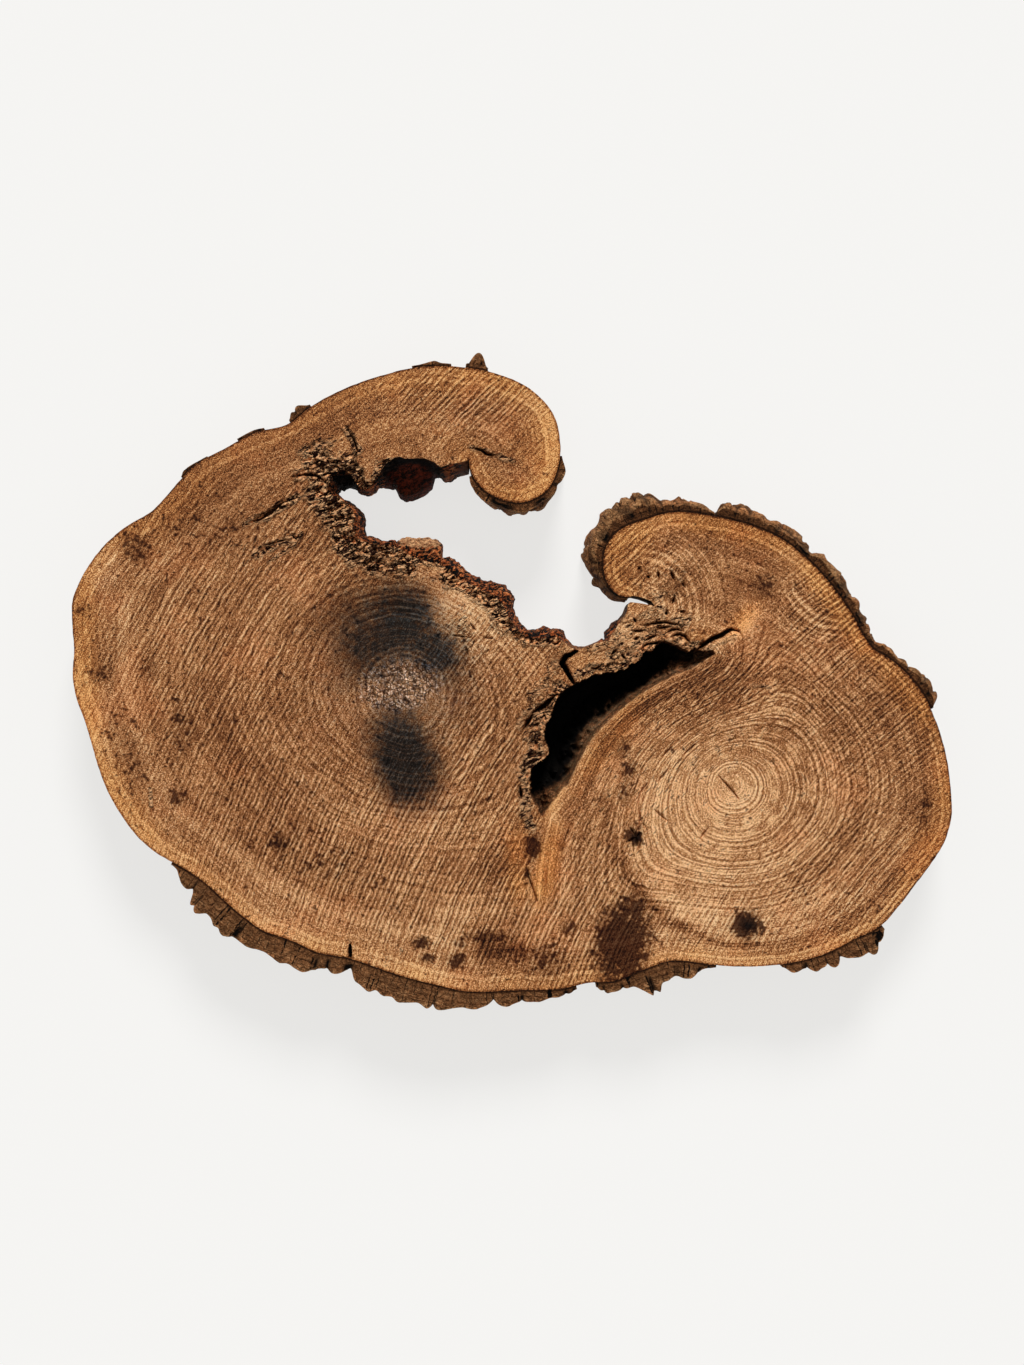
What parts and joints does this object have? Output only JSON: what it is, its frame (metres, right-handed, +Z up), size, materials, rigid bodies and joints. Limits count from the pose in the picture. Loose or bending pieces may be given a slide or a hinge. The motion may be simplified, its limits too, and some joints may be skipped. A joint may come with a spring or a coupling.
{
  "type": "walnut wood slice",
  "caption": "Twin-stemmed walnut trunk slice with a curl, a scroll, a rotted bay between them, a deep rotted cavity and broken strips of bark.",
  "frame": {"origin": "on the back cut face, which it lies on, under the middle of the slab's bounding box", "axes": "+Z up through the thickness, from the back cut face to the front one; +X along the slab's length, from the large stem towards the smaller one; +Y across it, towards the bay, the scroll and the curl"},
  "size_m": [0.8801, 0.6536, 0.075],
  "materials": {
    "wood": "rough-sawn end grain, dry and unsealed",
    "bark": "furrowed dry bark, grey-brown outside and dark brown where cut"
  },
  "bodies": {
    "root": {"wood": "wood", "bark_chip_left": "bark", "bark_chip_shoulder": "bark", "bark_chip_top": "bark", "bark_crust_left": "bark", "bark_crust_top": "bark", "bark_curl": "bark", "bark_lower_left": "bark", "bark_lower_middle": "bark", "bark_lower_right": "bark", "bark_scroll": "bark", "bark_upper_right": "bark"}
  },
  "joints": []
}
